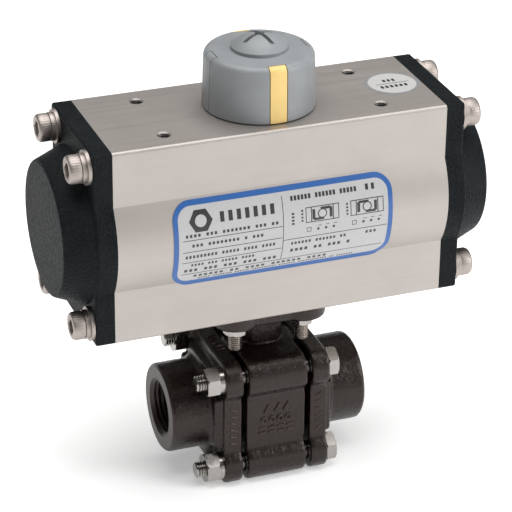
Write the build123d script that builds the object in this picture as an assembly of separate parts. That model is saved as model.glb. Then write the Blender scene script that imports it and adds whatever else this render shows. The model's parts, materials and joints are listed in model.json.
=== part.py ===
"""Pneumatic actuated valve: a double-acting rack and pinion actuator on a three-piece ball valve.

Frame: the origin is where the stem axis meets the flat underside of the valve.
+X runs along the pipe and the actuator's bore, +Y to the air port side, +Z up the stem.
Everything is drawn with the valve closed and the two pistons together. Units are millimetres.
"""
import os
from math import acos, cos, pi, radians, sin, sqrt, tan

from build123d import *

# ---- driving dimensions -------------------------------------------------------------

# heights along the stem
FLOW_Z = 24.5            # pipe axis above the underside
NECK_BASE_Z = 49.1       # top of the ring round the foot of the neck
PAD_BOTTOM_Z = 62.0      # underside of the mounting pad
GLAND_FLOOR_Z = 62.7     # floor of the counterbore round the gland nut
ACT_BASE_Z = 68.1        # where the actuator sits on the pad
ACT_HEIGHT = 72.5
ACT_TOP_Z = ACT_BASE_Z + ACT_HEIGHT
BORE_Z = ACT_BASE_Z + ACT_HEIGHT / 2

# actuator body
BODY_HALF_LENGTH = 61.25
BODY_HALF_WIDTH = 24.35
BORE_R = 26.0
BULGE_R = 29.2           # outside of the wall round the bore
BODY_CORNER_R = 1.2
PORT_FACE_Y = 41.5       # face that takes a solenoid valve
PORT_PAD_HALF_HEIGHT = 20.0
SEAL_SEAT_R = 27.35      # step at each end of the bore for the cap seal
SEAL_SEAT_DEPTH = 1.6

# interfaces on the actuator
ACCESSORY_X = 40.0       # half of the 80 x 30 accessory pattern
ACCESSORY_Y = 15.0
M5_TAPPED_R = 2.1
M5_DEPTH = 9.0
MOUTH_DEPTH = 0.45       # countersink of the tapped holes
OVERRUN = 0.2            # how far a cutter runs past the face it opens
SOLENOID_X = 16.0        # half of the 32 x 24 solenoid pattern
SOLENOID_Z = 12.0
AIR_PORT_X = 12.0        # half of the 24 mm port spacing
AIR_PORT_R = 5.9         # G1/4 tapping size
AIR_PORT_DEPTH = 11.0
CHANNEL_R = 1.5
CHANNEL_OFFSET = 21.0    # corner air channel, measured from the bore axis both ways

# end caps and their screws
CAP_PLATE = 7.0
CAP_FACE_X = 78.9
CAP_FACE_R = 24.0
CAP_WALL = 4.0
CAP_EDGE_R = 0.9         # rounding of the plate's outer edge
CAP_SCREW_Y = 18.1
CAP_SCREW_Z = 29.8
FLAT_WASHER = 1.2
SPRING_WASHER = 1.6
CAP_HEAD_R = 5.0
CAP_HEAD_HEIGHT = 4.4
CAP_SOCKET_DEPTH = 2.6

# rack and pinion
MODULE = 1.25
TEETH = 16
PITCH_R = MODULE * TEETH / 2
PRESSURE_ANGLE = 20.0
ADDENDUM = 0.9 * MODULE
DEDENDUM = 1.25 * MODULE
BACKLASH = 0.12
STROKE = PITCH_R * pi / 2          # a quarter turn of the pinion
GEAR_HALF_HEIGHT = 9.5

# pistons
PISTON_R = 25.85
HEAD_INNER_X = 31.0
HEAD_THICKNESS = 11.0
STOP_GAP = 0.2                     # left between the pistons, and to the caps, at the ends of travel
ARM_HALF_HEIGHT = 9.0
ARM_BACK_R = 25.3
PAD_BACK_R = 25.92

# pinion journals
LOWER_BORE_R = 12.25
LOWER_LAND_R = 12.15
UPPER_BORE_R = 9.5
UPPER_LAND_R = 9.4
UPPER_SHOULDER_R = 11.0
UPPER_SHOULDER_Z = BORE_Z + 22.8
DRIVE_SQUARE = 11.0
STUB_R = 6.0
STUB_FLATS = 9.0
STUB_TOP_Z = ACT_TOP_Z + 15.0

# position indicator, heights above the actuator
KNOB_BASE = 0.5
KNOB_R = 19.95
KNOB_SHOULDER = 20.3
KNOB_CROWN = 20.8
KNOB_SHOULDER_R = 19.35
DISC_R = 10.05
DISC_EDGE = 22.0         # where the domed top of the screw starts
DISC_PEAK = 26.2
CROSS_R = 7.3            # cross recess in the dome
CROSS_HALF_WIDTH = 0.8
CROSS_FLOOR = 23.1
CROSS_SLOPE = 8.0
CROSS_TURN = 20.0
INSERT_WIDTH = 6.0
INSERT_DEPTH_R = 16.7
INSERT_GAP = 0.3

# valve castings
CASTING_HALF = 24.5
LOBE_R = 6.5
SIDE_RECESS = 2.7
SIDE_RECESS_HALF = 12.2
PANEL_BEND_R = 3.5
BODY_HALF_X = 11.3
FLANGE_INNER_X = 13.2
FLANGE_OUTER_X = 19.9
COLLAR_X = 22.7
HUB_END_X = 37.4
HUB_R = 16.45
REGISTER_R = 16.6
BOLT_OFFSET = 17.9
BOLT_R = 3.0
BOLT_TIP_X = -29.9

# pipe port and flow way
PORT_R = 9.315                     # G1/2 thread, minor diameter 18.63
PORT_DEPTH = 15.0
PORT_CHAMFER = 1.7
FLOW_R = 7.5
BALL_R = 12.5
CAVITY_R = 13.1

# mounting pad, F03 flange: four M5 on a 36 mm circle
STUD_OFFSET = 36.0 / 2 * cos(pi / 4)
STUD_R = 2.5
EAR_R = 8.6
PAD_SIDE = 18.8
PAD_RELIEF = 0.8                   # depth of the step along each top edge of the pad
NECK_R = 9.25
NECK_FLAT_HALF = 5.2               # raised flat panel on the front and back of the neck
MOUNT_WASHER = 1.2
MOUNT_NUT = 2.7
SPIGOT_R = 12.5

# valve stem
STEM_R = 5.9
STEM_SQUARE = 9.0
CHAMBER_R = 7.6
STEM_TOP_Z = 80.5

SLIP = 0.05              # radial clearance of turning and sliding fits


# ---- small helpers ------------------------------------------------------------------

def rod_z(radius, low, high, x=0.0, y=0.0):
    return Pos(x, y, (low + high) / 2) * Cylinder(radius, high - low)


def rod_x(radius, low, high, y=0.0, z=0.0):
    return Pos((low + high) / 2, y, z) * Rot(0, 90, 0) * Cylinder(radius, high - low)


def rod_y(radius, low, high, x=0.0, z=0.0):
    return Pos(x, (low + high) / 2, z) * Rot(90, 0, 0) * Cylinder(radius, high - low)


def block(x_low, x_high, y_low, y_high, z_low, z_high):
    centre = Pos((x_low + x_high) / 2, (y_low + y_high) / 2, (z_low + z_high) / 2)
    return centre * Box(x_high - x_low, y_high - y_low, z_high - z_low)


def tube_z(outer, inner, low, high):
    return rod_z(outer, low, high) - rod_z(inner, low - 1, high + 1)


def tube_x(outer, inner, low, high, y=0.0, z=0.0):
    return rod_x(outer, low, high, y, z) - rod_x(inner, low - 1, high + 1, y, z)


def o_ring_z(section_r, ring_r, z):
    return Pos(0, 0, z) * Torus(ring_r, section_r)


def o_ring_x(section_r, ring_r, x, z):
    return Pos(x, 0, z) * Rot(0, 90, 0) * Torus(ring_r, section_r)


def hex_z(across_flats, low, high):
    outline = RegularPolygon(across_flats / 2, 6, major_radius=False)
    return Pos(0, 0, low) * extrude(outline, high - low)


def along_x(shape):
    """Lay a piece drawn along +Z along +X."""
    return Rot(0, 90, 0) * shape


def extrude_x(outline, low, high):
    """Extrude an outline drawn as (Y, Z) between two places along X."""
    return Pos(low, 0, 0) * extrude(Plane.YZ * outline, high - low)


def left_of(shape):
    """The same piece on the -X side."""
    return mirror(shape, about=Plane.YZ)


def turned(shape):
    """The same piece after half a turn about the stem."""
    return Rot(0, 0, 180) * shape


def group(shapes):
    return Compound(children=list(shapes))


def corners(first, second):
    return [(a * first, b * second) for a in (-1, 1) for b in (-1, 1)]


def screw_thread(radius, pitch, low, high):
    """A threaded end drawn along Z, its thread as plain V rings."""
    depth = 0.55 * pitch
    points = [(0, low), (radius - depth, low)]
    rings = int((high - low) / pitch - 0.01)
    for ring in range(rings):
        start = low + ring * pitch
        points.append((radius, start + 0.44 * pitch))
        points.append((radius, start + 0.56 * pitch))
        points.append((radius - depth, start + pitch))
    points.append((radius - depth, high))
    points.append((0, high))
    return revolve(Plane.XZ * make_face(Polyline(*points, close=True)), Axis.Z)


def hex_nut(across_flats, bore_r, height):
    """A hexagon nut from z = 0 up, with both faces turned."""
    corner_r = across_flats / 2 / cos(pi / 6)
    turned_blank = chamfer(Cylinder(corner_r, height).edges().filter_by(GeomType.CIRCLE), 0.6)
    nut = hex_z(across_flats, 0, height) & Pos(0, 0, height / 2) * turned_blank
    return nut - rod_z(bore_r, -1, height + 1)


def split_washer(outer, inner, height):
    """A spring lock washer from z = 0 up, with its slanted split towards +Y."""
    split = Pos(0, (outer + inner) / 2, height / 2) * Rot(0, 25, 0)
    return tube_z(outer, inner, 0, height) - split * Box(0.9, 2 * (outer - inner), 3 * height)


# ---- actuator housing ---------------------------------------------------------------

def body_outline():
    """Box section with a round bulge each side, drawn about the bore axis."""
    section = Rectangle(2 * BODY_HALF_WIDTH, ACT_HEIGHT)
    section = fillet(section.vertices(), BODY_CORNER_R)
    return section + Circle(BULGE_R)


def port_pad_outline():
    """The rib along the back that carries the air ports."""
    pad = Pos(PORT_FACE_Y / 2, 0) * Rectangle(PORT_FACE_Y, 2 * PORT_PAD_HALF_HEIGHT)
    outer_edge = pad.vertices().sort_by(Axis.X)[-2:]
    return fillet(outer_edge, BODY_CORNER_R)


def air_passages():
    """Port, feed hole and corner channel that lead air to the middle and to both ends."""
    floor_y = PORT_FACE_Y - AIR_PORT_DEPTH
    cuts = []
    for side in (-1, 1):
        port = rod_y(AIR_PORT_R, floor_y, PORT_FACE_Y + 1, side * AIR_PORT_X, BORE_Z)
        mouth = Pos(side * AIR_PORT_X, PORT_FACE_Y, BORE_Z) * Rot(-90, 0, 0)
        cuts += [port, mouth * countersink(AIR_PORT_R)]
    cuts.append(rod_y(2.0, BORE_R - 2, floor_y + 1, -AIR_PORT_X, BORE_Z))
    start = Vector(AIR_PORT_X, floor_y + 2.5, BORE_Z)
    end = Vector(AIR_PORT_X, CHANNEL_OFFSET, BORE_Z + CHANNEL_OFFSET)
    feed = Plane(origin=start, z_dir=end - start) * Circle(CHANNEL_R)
    cuts.append(extrude(feed, (end - start).length))
    cuts.append(rod_x(CHANNEL_R, -BODY_HALF_LENGTH - 1, BODY_HALF_LENGTH + 1,
                      CHANNEL_OFFSET, BORE_Z + CHANNEL_OFFSET))
    return cuts


def countersink(radius):
    """Cutter for a 45 degree mouth of a hole that opens at z = 0."""
    return Pos(0, 0, (OVERRUN - MOUTH_DEPTH) / 2) * Cone(radius, radius + MOUTH_DEPTH + OVERRUN,
                                                         MOUTH_DEPTH + OVERRUN)


def tapped_from_top(x, y):
    """M5 hole from the top face with a countersunk mouth."""
    mouth = Pos(x, y, ACT_TOP_Z) * countersink(M5_TAPPED_R)
    return [rod_z(M5_TAPPED_R, ACT_TOP_Z - M5_DEPTH, ACT_TOP_Z + 1, x, y), mouth]


def make_actuator_body():
    outline = Pos(0, BORE_Z) * (body_outline() + port_pad_outline())
    body = extrude_x(outline, -BODY_HALF_LENGTH, BODY_HALF_LENGTH)
    end = BODY_HALF_LENGTH
    cuts = [rod_x(BORE_R, -end - 1, end + 1, 0, BORE_Z)]
    cuts.append(rod_z(UPPER_BORE_R, BORE_Z, ACT_TOP_Z + 1))
    cuts.append(rod_z(LOWER_BORE_R, ACT_BASE_Z - 1, BORE_Z))
    cuts.append(rod_z(SPIGOT_R, ACT_BASE_Z - 1, ACT_BASE_Z + 2.1))
    cuts += air_passages()
    for x, y in corners(ACCESSORY_X, ACCESSORY_Y):
        cuts += tapped_from_top(x, y)
    for x, z in corners(SOLENOID_X, SOLENOID_Z):
        cuts.append(rod_y(M5_TAPPED_R, PORT_FACE_Y - M5_DEPTH, PORT_FACE_Y + 1, x, BORE_Z + z))
    for x, y in corners(STUD_OFFSET, STUD_OFFSET):
        cuts.append(rod_z(STUD_R + SLIP, ACT_BASE_Z - 1, ACT_BASE_Z + 10, x, y))
    for side in (-1, 1):
        low, high = sorted((side * (end - SEAL_SEAT_DEPTH), side * (end + 1)))
        cuts.append(rod_x(SEAL_SEAT_R, low, high, 0, BORE_Z))
        low, high = sorted((side * (end - 13), side * (end + 1)))
        for y, z in corners(CAP_SCREW_Y, CAP_SCREW_Z):
            cuts.append(rod_x(BOLT_R + SLIP, low, high, y, BORE_Z + z))
    return body - cuts


def make_end_cap():
    """The +X cap: a plate, a coned cover, and a hollow spigot that enters the bore."""
    plate_x = BODY_HALF_LENGTH + CAP_PLATE
    plate = extrude_x(Pos(0, BORE_Z) * body_outline(), BODY_HALF_LENGTH, plate_x)
    plate = fillet(plate.faces().sort_by(Axis.X)[-1].outer_wire().edges(), CAP_EDGE_R)
    cone_height = CAP_FACE_X - plate_x
    cone = Cone(BULGE_R - CAP_EDGE_R, CAP_FACE_R, cone_height)
    rim = cone.faces().sort_by(Axis.Z)[-1].edges()
    cone = Pos((plate_x + CAP_FACE_X) / 2, 0, BORE_Z) * along_x(fillet(rim, 1.3))
    spigot_x = HEAD_INNER_X + HEAD_THICKNESS + STROKE + STOP_GAP
    spigot = rod_x(BORE_R - 2 * SLIP, spigot_x, BODY_HALF_LENGTH, 0, BORE_Z)
    cap = plate + cone + spigot
    hollow_r = BORE_R - CAP_WALL
    hollow_x = CAP_FACE_X - CAP_WALL
    hollow = Cone(hollow_r, hollow_r - 3, hollow_x - spigot_x + 1)
    cuts = [Pos((spigot_x - 1 + hollow_x) / 2, 0, BORE_Z) * along_x(hollow)]
    for y, z in corners(CAP_SCREW_Y, CAP_SCREW_Z):
        cuts.append(rod_x(BOLT_R + 0.3, BODY_HALF_LENGTH - 1, plate_x + 1, y, BORE_Z + z))
    diagonal = Pos(BODY_HALF_LENGTH, 0, BORE_Z) * Rot(45, 0, 0)
    cuts.append(diagonal * Pos(0, (hollow_r + 31) / 2, 0) * Box(4, 31 - hollow_r + 2, 3))
    return cap - cuts


def cap_seal():
    section_r = 0.7
    x = BODY_HALF_LENGTH - SEAL_SEAT_DEPTH / 2
    return o_ring_x(section_r, (BORE_R + SEAL_SEAT_R) / 2 - 0.05, x, BORE_Z)


def cap_screw():
    """Socket head screw along +Z, its head resting at z = 0."""
    head = Cylinder(CAP_HEAD_R, CAP_HEAD_HEIGHT)
    head = chamfer(head.faces().sort_by(Axis.Z)[-1].edges(), 0.7)
    head = Pos(0, 0, CAP_HEAD_HEIGHT / 2) * head
    socket = hex_z(5.0, CAP_HEAD_HEIGHT - CAP_SOCKET_DEPTH, CAP_HEAD_HEIGHT + 1)
    return head + rod_z(BOLT_R, -16, 0) - socket


def at_cap_screws(piece, seat_x):
    """Eight copies of a piece drawn along +Z, four on each cap."""
    placed = []
    for y, z in corners(CAP_SCREW_Y, CAP_SCREW_Z):
        right = Pos(seat_x, y, BORE_Z + z) * along_x(piece)
        placed += [right, left_of(right)]
    return group(placed)


# ---- rack and pinion ----------------------------------------------------------------

def involute_angle(radius, base_r):
    """Polar angle that an involute has gained where it reaches this radius."""
    opening = sqrt(max((radius / base_r) ** 2 - 1, 0))
    return opening - acos(min(base_r / radius, 1))


def gear_outline():
    """Involute pinion with a tooth centred on -Y."""
    base_r = PITCH_R * cos(radians(PRESSURE_ANGLE))
    root_r = PITCH_R - DEDENDUM
    tip_r = PITCH_R + ADDENDUM
    half_tooth = (pi * MODULE / 2 - BACKLASH / 2) / 2 / PITCH_R + involute_angle(PITCH_R, base_r)
    steps = 5
    flank = [(root_r, half_tooth)]
    for step in range(steps + 1):
        radius = base_r + (tip_r - base_r) * step / steps
        flank.append((radius, half_tooth - involute_angle(radius, base_r)))
    points = []
    for tooth in range(TEETH):
        centre = -pi / 2 + tooth * 2 * pi / TEETH
        points += [(r * cos(centre - a), r * sin(centre - a)) for r, a in flank]
        points += [(r * cos(centre + a), r * sin(centre + a)) for r, a in reversed(flank)]
    return make_face(Polyline(*points, close=True))


def square_bar(size, low, high):
    return block(-size / 2, size / 2, -size / 2, size / 2, low, high)


def make_pinion():
    gear = Pos(0, 0, BORE_Z - GEAR_HALF_HEIGHT) * extrude(gear_outline(), 2 * GEAR_HALF_HEIGHT)
    low = ACT_BASE_Z + 2.3
    pinion = gear + rod_z(LOWER_LAND_R, low, low + 10)
    pinion += rod_z(9.5, low + 10, BORE_Z - GEAR_HALF_HEIGHT)
    pinion += rod_z(8.3, BORE_Z, UPPER_SHOULDER_Z)
    pinion += rod_z(UPPER_SHOULDER_R, UPPER_SHOULDER_Z - 4, UPPER_SHOULDER_Z)
    pinion += rod_z(UPPER_LAND_R, UPPER_SHOULDER_Z - 1, ACT_TOP_Z)
    pinion += rod_z(8.0, ACT_TOP_Z, ACT_TOP_Z + 4.6)
    stub = rod_z(STUB_R, ACT_TOP_Z + 4, STUB_TOP_Z)
    stub = stub & block(-STUB_R, STUB_R, -STUB_FLATS / 2, STUB_FLATS / 2, ACT_TOP_Z, STUB_TOP_Z)
    pinion += stub
    cuts = [square_bar(DRIVE_SQUARE, low - 1, low + 13)]
    cuts.append(rod_z(2.5, STUB_TOP_Z - 12, STUB_TOP_Z + 1))
    cuts.append(tube_z(LOWER_LAND_R + 1, 10.8, low + 0.9, low + 4.1))
    cuts.append(tube_z(LOWER_LAND_R + 1, 10.2, low + 5.0, low + 7.4))
    cuts.append(tube_z(UPPER_LAND_R + 1, 8.0, ACT_TOP_Z - 9.1, ACT_TOP_Z - 4.9))
    cuts.append(tube_z(UPPER_LAND_R + 1, 7.2, ACT_TOP_Z - 4.2, ACT_TOP_Z - 1.8))
    cuts.append(tube_z(9, 7.3, ACT_TOP_Z + 2.1, ACT_TOP_Z + 3.3))
    return pinion - cuts


def lower_bearing():
    low = ACT_BASE_Z + 3.3
    return tube_z(LOWER_BORE_R - 0.02, 10.8 + SLIP, low, low + 3)


def upper_bearing():
    return tube_z(UPPER_BORE_R - 0.02, 8.0 + SLIP, ACT_TOP_Z - 9, ACT_TOP_Z - 5)


def lower_shaft_seal():
    return o_ring_z(0.97, 11.2, ACT_BASE_Z + 2.3 + 6.2)


def upper_shaft_seal():
    return o_ring_z(1.1, 8.32, ACT_TOP_Z - 3.0)


def inner_thrust_washer():
    roof_z = BORE_Z + sqrt(BORE_R ** 2 - UPPER_SHOULDER_R ** 2)
    return tube_z(UPPER_SHOULDER_R, UPPER_LAND_R + SLIP, UPPER_SHOULDER_Z + SLIP, roof_z - SLIP)


def circlip():
    low = ACT_TOP_Z + 2.2
    ring = tube_z(10.0, 7.3 + SLIP, low, low + 1.0)
    ears = rod_z(1.5, low, low + 1.0, -2.4, -10.2) + rod_z(1.5, low, low + 1.0, 2.4, -10.2)
    ring = ring + ears - block(-1.4, 1.4, -12, -6, low - 1, low + 2)
    eyes = [rod_z(0.6, low - 1, low + 2, side * 2.4, -10.4) for side in (-1, 1)]
    return ring - eyes


def rack_gap():
    """One tooth space of the rack on the -Y side, centred on x = 0."""
    slope = tan(radians(PRESSURE_ANGLE))
    half = (pi * MODULE / 2 + BACKLASH / 2) / 2
    above = ADDENDUM + 0.5
    tip_half = half + above * slope
    root_half = half - DEDENDUM * slope
    tip_y = -PITCH_R + above
    root_y = -PITCH_R - DEDENDUM
    corners_xy = [(-tip_half, tip_y), (tip_half, tip_y), (root_half, root_y), (-root_half, root_y)]
    space = make_face(Polyline(*corners_xy, close=True))
    height = ARM_HALF_HEIGHT + 1
    return Pos(0, 0, BORE_Z - height) * extrude(space, 2 * height)


def make_piston():
    """The +X piston, with its rack on the -Y side of the pinion."""
    outer_x = HEAD_INNER_X + HEAD_THICKNESS
    head = rod_x(PISTON_R, HEAD_INNER_X, outer_x, 0, BORE_Z)
    tip_x = -HEAD_INNER_X + STOP_GAP
    arm = rod_x(ARM_BACK_R, tip_x, HEAD_INNER_X + 1, 0, BORE_Z)
    arm = arm & block(tip_x, HEAD_INNER_X + 1, -ARM_BACK_R, -PITCH_R + ADDENDUM,
                      BORE_Z - ARM_HALF_HEIGHT, BORE_Z + ARM_HALF_HEIGHT)
    cuts = [Pos(step * pi * MODULE, 0, 0) * rack_gap() for step in range(-6, 3)]
    cuts.append(tube_x(BORE_R + 1, 23.2, outer_x - 4.1, outer_x - 1.3, 0, BORE_Z))
    cuts.append(tube_x(BORE_R + 1, 24.3, HEAD_INNER_X + 1.3, HEAD_INNER_X + 5.4, 0, BORE_Z))
    cuts.append(rod_x(6.5, outer_x - 5, outer_x + 1, 0, BORE_Z))
    for step in range(6):
        y = 15.5 * cos(step * pi / 3)
        z = 15.5 * sin(step * pi / 3)
        cuts.append(rod_x(4.2, outer_x - 6, outer_x + 1, y, BORE_Z + z))
    cuts.append(piston_pad_block(0.05, ARM_BACK_R + 1))
    return head + arm - cuts


def piston_pad_block(gap, back):
    return block(-26 - gap, -12 + gap, -back, -22.6 + gap, BORE_Z - 5 - gap, BORE_Z + 5 + gap)


def piston_pad():
    return piston_pad_block(0, BORE_R) & rod_x(PAD_BACK_R, -27, -11, 0, BORE_Z)


def piston_seal():
    outer_x = HEAD_INNER_X + HEAD_THICKNESS
    return o_ring_x(1.36, 24.58, outer_x - 2.7, BORE_Z)


def piston_guide_ring():
    ring = tube_x(BORE_R - 0.07, 24.35, HEAD_INNER_X + 1.35, HEAD_INNER_X + 5.35, 0, BORE_Z)
    return ring - block(HEAD_INNER_X, HEAD_INNER_X + 7, -0.4, 0.4, BORE_Z, BORE_Z + 30)


# ---- position indicator -------------------------------------------------------------

def indicator_form():
    """The turned outside of the indicator: tapered side, round shoulder, coned crown."""
    shoulder = 2.4
    with BuildPart() as form:
        with BuildSketch(Plane.XZ):
            with BuildLine():
                Polyline((0, KNOB_BASE), (KNOB_R, KNOB_BASE), (KNOB_SHOULDER_R, KNOB_SHOULDER),
                         (DISC_R, KNOB_CROWN), (0, KNOB_CROWN), close=True)
            make_face()
        revolve(axis=Axis.Z)
        rim = form.edges().filter_by(GeomType.CIRCLE).sort_by(SortBy.RADIUS)
        edge = [e for e in rim if e.radius > DISC_R + 1 and e.center().Z > KNOB_SHOULDER - 1]
        fillet(edge, shoulder)
    return Pos(0, 0, ACT_TOP_Z) * form.part


def insert_block(grow):
    """Where the front insert sits, grown all round by a gap."""
    half = INSERT_WIDTH / 2 + grow
    top = ACT_TOP_Z + KNOB_CROWN + 2
    return block(-half, half, -KNOB_R - 1, -INSERT_DEPTH_R + grow, ACT_TOP_Z, top)


def make_indicator_cap():
    low = ACT_TOP_Z + KNOB_BASE
    hub_z = ACT_TOP_Z + 5.2
    cuts = [rod_z(13.2, low - 1, hub_z)]
    cuts.append(tube_z(14.4, 8.6, hub_z, ACT_TOP_Z + 17.5))
    stub = rod_z(STUB_R + SLIP, hub_z - 1, STUB_TOP_Z + 0.3)
    flats = STUB_FLATS / 2 + SLIP
    cuts.append(stub & block(-9, 9, -flats, flats, hub_z - 1, STUB_TOP_Z + 1))
    cuts.append(rod_z(2.7, STUB_TOP_Z, ACT_TOP_Z + KNOB_CROWN + 1))
    for turn in range(4):
        cuts.append(Rot(0, 0, 90 * turn) * insert_block(INSERT_GAP))
    return indicator_form() - cuts


def indicator_inserts(first_turn):
    """Two opposite inserts; the first one faces -Y when not turned."""
    insert = indicator_form() & insert_block(0)
    return group([Rot(0, 0, first_turn) * insert, Rot(0, 0, first_turn + 180) * insert])


def screw_outline():
    """Half section of the indicator screw's disc: straight edge, soft rim, domed top."""
    low = ACT_TOP_Z + KNOB_CROWN + 0.02
    edge = ACT_TOP_Z + DISC_EDGE
    peak = ACT_TOP_Z + DISC_PEAK
    soft = 0.45
    rim_top = (DISC_R - soft, edge + soft * 0.6)
    middle = (DISC_R / 2, edge + 0.76 * (peak - edge))
    lines = Polyline((0, peak), (0, low), (DISC_R, low), (DISC_R, edge - soft))
    rim = ThreePointArc((DISC_R, edge - soft), (DISC_R - 0.1, edge), rim_top)
    dome = ThreePointArc(rim_top, middle, (0, peak))
    return make_face(lines + rim + dome)


def make_indicator_screw():
    """Domed screw with a cross recess that holds the indicator on the pinion."""
    disc = revolve(Plane.XZ * screw_outline(), Axis.Z)
    disc += rod_z(2.45, STUB_TOP_Z - 11, ACT_TOP_Z + KNOB_CROWN + 1)
    height = DISC_PEAK - DISC_EDGE + 1
    arm = block(0, CROSS_R, -CROSS_HALF_WIDTH, CROSS_HALF_WIDTH, 0, height)
    arm = Pos(0, 0, ACT_TOP_Z + CROSS_FLOOR) * Rot(0, -CROSS_SLOPE, 0) * arm
    for turn in range(4):
        disc -= Rot(0, 0, CROSS_TURN + 90 * turn) * arm
    pocket_z = ACT_TOP_Z + CROSS_FLOOR - 0.4
    return disc - rod_z(2 * CROSS_HALF_WIDTH, pocket_z, ACT_TOP_Z + DISC_PEAK + 1)


def indicator_base_ring():
    return tube_z(19.3, 13.4, ACT_TOP_Z + 0.2, ACT_TOP_Z + KNOB_BASE)


# ---- labels -------------------------------------------------------------------------

def make_name_label():
    """Thin plate that follows the front bulge and runs a little on to the flat below it."""
    centre_x = -0.8
    half_x = 40.5
    top_dz = 15.4
    bottom_dz = -17.3
    thickness = 0.25
    kink = -sqrt(BULGE_R ** 2 - BODY_HALF_WIDTH ** 2)
    band = Circle(BULGE_R + thickness) - Circle(BULGE_R)
    band = band & Pos(-BULGE_R, (top_dz + kink) / 2) * Rectangle(BULGE_R, top_dz - kink)
    flat_height = kink - bottom_dz
    tail = Pos(-BODY_HALF_WIDTH - thickness / 2, (kink + bottom_dz) / 2)
    section = band + tail * Rectangle(thickness, flat_height)
    label = extrude_x(Pos(0, BORE_Z) * section, centre_x - half_x, centre_x + half_x)
    face_height = top_dz - bottom_dz
    outline = RectangleRounded(2 * half_x, face_height, 6.5)
    place = Pos(centre_x, -BODY_HALF_WIDTH + 3, BORE_Z + (top_dz + bottom_dz) / 2)
    cutter = place * Rot(90, 0, 0) * extrude(outline, 20)
    return label & cutter


def inspection_sticker():
    return rod_z(10.0, ACT_TOP_Z, ACT_TOP_Z + 0.12, 50.9, 0.4)


# ---- valve castings -----------------------------------------------------------------

def casting_outline():
    """Square section with a round lobe at each bolt and a sunk panel front and back."""
    section = RectangleRounded(2 * CASTING_HALF, 2 * CASTING_HALF, LOBE_R)
    floor = SIDE_RECESS_HALF - 1.2
    mouth = SIDE_RECESS_HALF + 1.8
    rim = CASTING_HALF + 1
    step = (mouth - floor) / SIDE_RECESS
    wide = mouth + step
    sunk = CASTING_HALF - SIDE_RECESS
    notch = make_face(Polyline((sunk, -floor), (rim, -wide), (rim, wide), (sunk, floor), close=True))
    section -= notch
    section -= Rot(0, 0, 180) * notch
    bends = [v for v in section.vertices() if abs(v.Y) < mouth + 0.01 and abs(v.X) > sunk - 0.01]
    return fillet(bends, PANEL_BEND_R)


def bolt_holes(low, high):
    return [rod_x(BOLT_R + 0.3, low, high, y, FLOW_Z + z) for y, z in corners(BOLT_OFFSET, BOLT_OFFSET)]


def pad_outline():
    """Flange with a round ear at each stud."""
    section = Rectangle(2 * PAD_SIDE, 2 * PAD_SIDE)
    for x, y in corners(STUD_OFFSET, STUD_OFFSET):
        section += Pos(x, y) * Circle(EAR_R)
    return section


def cast_marks():
    """Plain raised bars on the front of the valve body."""
    face_y = -CASTING_HALF + SIDE_RECESS
    marks = []
    for row in (-1, 0, 1):
        half = 6.5 - 1.5 * abs(row)
        bar = block(-half, half, face_y - 0.5, face_y + 0.5, -0.8, 0.8)
        marks.append(Pos(0, 0, FLOW_Z + 4.2 * row) * bar)
    return marks


def make_valve_body():
    body = extrude_x(Pos(0, FLOW_Z) * casting_outline(), -BODY_HALF_X, BODY_HALF_X)
    ends = body.faces().filter_by(Axis.X)
    body = chamfer([edge for face in ends for edge in face.outer_wire().edges()], 0.5)
    for mark in cast_marks():
        body += mark
    body += rod_z(NECK_R + 0.9, FLOW_Z + 15, NECK_BASE_Z)
    body += rod_z(NECK_R, FLOW_Z + 15, PAD_BOTTOM_Z + 1)
    body += block(-NECK_FLAT_HALF, NECK_FLAT_HALF, -NECK_R - 0.1, NECK_R + 0.1,
                  NECK_BASE_Z + 1.2, PAD_BOTTOM_Z + 1)
    body += Pos(0, 0, PAD_BOTTOM_Z - 0.9) * Cone(NECK_R, NECK_R + 2.4, 1.8)
    pad = Pos(0, 0, PAD_BOTTOM_Z) * extrude(pad_outline(), ACT_BASE_Z - PAD_BOTTOM_Z)
    pad = chamfer(pad.faces().sort_by(Axis.Z)[0].outer_wire().edges(), 0.7)
    body += pad
    cuts = []
    for turn in range(4):
        edge = block(-11.6, 11.6, -PAD_SIDE - 6, -15.8, ACT_BASE_Z - PAD_RELIEF, ACT_BASE_Z + 1)
        cuts.append(Rot(0, 0, 90 * turn) * edge)
    cuts.append(rod_x(CAVITY_R, -BODY_HALF_X - 1, BODY_HALF_X + 1, 0, FLOW_Z))
    for side in (-1, 1):
        low, high = sorted((side * 9.0, side * (BODY_HALF_X + 1)))
        cuts.append(rod_x(14.5, low, high, 0, FLOW_Z))
    cuts += bolt_holes(-BODY_HALF_X - 1, BODY_HALF_X + 1)
    cuts.append(rod_z(STEM_R + SLIP, FLOW_Z, 60))
    cuts.append(rod_z(CHAMBER_R + 0.2, FLOW_Z, 42.0))
    cuts.append(rod_z(CHAMBER_R, 49.8, GLAND_FLOOR_Z + 1))
    cuts.append(rod_z(9.7, GLAND_FLOOR_Z, ACT_BASE_Z + 1))
    cuts.append(rod_z(SPIGOT_R, ACT_BASE_Z - 1.8, ACT_BASE_Z + 1))
    for x, y in corners(STUD_OFFSET, STUD_OFFSET):
        cuts.append(rod_z(STUD_R + 0.25, PAD_BOTTOM_Z - 3, ACT_BASE_Z + 1, x, y))
    return body - cuts


def collar_outline():
    """Raised plus-shaped platform that leaves room round each bolt."""
    section = Rectangle(39.0, 39.0)
    section = fillet(section.vertices(), 3.0)
    for y, z in corners(BOLT_OFFSET, BOLT_OFFSET):
        section -= Pos(y, z) * Circle(7.6)
    return section


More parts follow.
